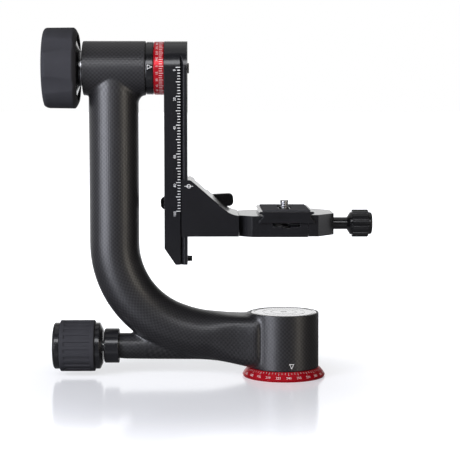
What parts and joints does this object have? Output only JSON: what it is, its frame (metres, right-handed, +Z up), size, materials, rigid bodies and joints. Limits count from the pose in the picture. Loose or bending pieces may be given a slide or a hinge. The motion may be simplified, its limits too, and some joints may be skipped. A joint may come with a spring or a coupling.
{
  "type": "gimbal tripod head",
  "caption": "Gimbal head: carbon C-arm panning on a scaled base, swing rail on a tilt axis, sliding L platform with quick-release clamp, camera plate and lock knobs.",
  "frame": {"origin": "centre of the base disc's underside, at the mouth of the tripod thread", "axes": "+Z up along the pan axis; X along the tilt axis, from the tilt knob towards the platform; Y across, along the dovetail of the clamp"},
  "size_m": [0.233, 0.077, 0.2481],
  "materials": {
    "carbon": "carbon twill under a satin clear coat",
    "red_anodised": "gloss red anodised with white marks",
    "black_anodised": "fine satin black anodised",
    "black_gloss": "gloss black",
    "rubber": "matt grey-black rubber",
    "silver": "turned and engraved",
    "polished": "polished bevel",
    "steel": "ground",
    "black_steel": "black oxide",
    "brass": "turned"
  },
  "bodies": {
    "base": {"base_disc": "red_anodised", "pan_spindle": "steel", "thread_insert": "steel", "base_screws": "black_steel", "spindle_nut": "steel"},
    "arm": {"carbon_arm": "carbon", "pan_sleeve": "silver", "pan_bearing_lower": "steel", "pan_bearing_upper": "steel", "hub_cap": "silver", "cap_ring": "polished", "pan_lock_bush": "brass", "pan_ferrule": "black_anodised", "tilt_sleeve": "silver", "tilt_bearing_left": "steel", "tilt_bearing_right": "steel", "index_collar": "black_gloss"},
    "pan_brake": {"pan_brake_shoe": "brass", "pan_push_rod": "steel"},
    "pan_knob": {"pan_knob_core": "black_anodised", "pan_knob_grip": "rubber", "pan_knob_cap": "black_anodised", "pan_lock_screw": "steel"},
    "swing": {"swing_rail": "black_anodised", "tilt_spindle": "steel", "tilt_scale_ring": "red_anodised", "rail_screw": "black_steel", "rail_dowels": "steel", "rail_stop_screw": "black_steel"},
    "tilt_washer": {"tilt_clamp_washer": "steel"},
    "tilt_knob": {"tilt_knob_core": "black_anodised", "tilt_knob_grip": "rubber", "tilt_knob_cap": "rubber", "tilt_knob_nut": "brass"},
    "platform": {"platform_bracket": "black_anodised", "clamp_body": "black_anodised", "clamp_bolts": "black_steel"},
    "rail_jaw": {"rail_jaw": "black_anodised", "rail_jaw_pins": "steel"},
    "bar_knob": {"bar_knob": "black_gloss", "bar_screw": "steel"},
    "clamp_jaw": {"clamp_jaw": "black_anodised", "clamp_guide_pins": "steel"},
    "clamp_knob": {"clamp_knob": "black_gloss", "clamp_screw": "steel", "clamp_knob_cap": "black_gloss"},
    "plate": {"camera_plate": "black_anodised", "plate_pad": "rubber"},
    "camera_screw": {"camera_screw": "steel"}
  },
  "joints": [
    {"name": "pan", "type": "hinge", "parent": "base", "child": "arm", "pos_m": [0, 0, 0.03], "axis": [0, 0, 1], "continuous": true},
    {"name": "pan_brake_slide", "type": "slide", "parent": "arm", "child": "pan_brake", "axis": [-1, 0, 0], "range_m": [0, 0.000625]},
    {"name": "pan_lock", "type": "hinge", "parent": "pan_brake", "child": "pan_knob", "pos_m": [-0.14, 0, 0.0218], "axis": [-1, 0, 0], "range_deg": [0, 180]},
    {"name": "tilt", "type": "hinge", "parent": "arm", "child": "swing", "pos_m": [-0.1, 0, 0.2196], "axis": [1, 0, 0], "continuous": true},
    {"name": "tilt_washer_slide", "type": "slide", "parent": "swing", "child": "tilt_washer", "axis": [-1, 0, 0], "range_m": [0, 0.00075]},
    {"name": "tilt_lock", "type": "hinge", "parent": "tilt_washer", "child": "tilt_knob", "pos_m": [-0.155, 0, 0.2196], "axis": [-1, 0, 0], "range_deg": [0, 180]},
    {"name": "platform_slide", "type": "slide", "parent": "swing", "child": "platform", "axis": [0, 0, 1], "range_m": [-0.016, 0.07]},
    {"name": "rail_jaw_slide", "type": "slide", "parent": "platform", "child": "rail_jaw", "axis": [0, 1, 0], "range_m": [0, 0.002]},
    {"name": "bar_turn", "type": "hinge", "parent": "rail_jaw", "child": "bar_knob", "pos_m": [-0.0624, 0.038, 0.1231], "axis": [0, 1, 0], "range_deg": [0, 720]},
    {"name": "clamp_jaw_slide", "type": "slide", "parent": "platform", "child": "clamp_jaw", "axis": [1, 0, 0], "range_m": [0, 0.004]},
    {"name": "clamp_lock", "type": "hinge", "parent": "clamp_jaw", "child": "clamp_knob", "pos_m": [0.05, 0, 0.1097], "axis": [1, 0, 0], "range_deg": [0, 1440]},
    {"name": "plate_slide", "type": "slide", "parent": "platform", "child": "plate", "axis": [0, 1, 0], "range_m": [-0.02, 0.02]},
    {"name": "camera_screw_turn", "type": "hinge", "parent": "plate", "child": "camera_screw", "pos_m": [0, 0, 0.115], "axis": [0, 0, 1], "continuous": true}
  ],
  "couplings": [
    {"joint": "pan_lock", "follows": "pan_brake_slide", "rad_per_m": 5026.5},
    {"joint": "tilt_lock", "follows": "tilt_washer_slide", "rad_per_m": 4188.8},
    {"joint": "bar_turn", "follows": "rail_jaw_slide", "rad_per_m": 6283.2},
    {"joint": "clamp_lock", "follows": "clamp_jaw_slide", "rad_per_m": 6283.2}
  ]
}
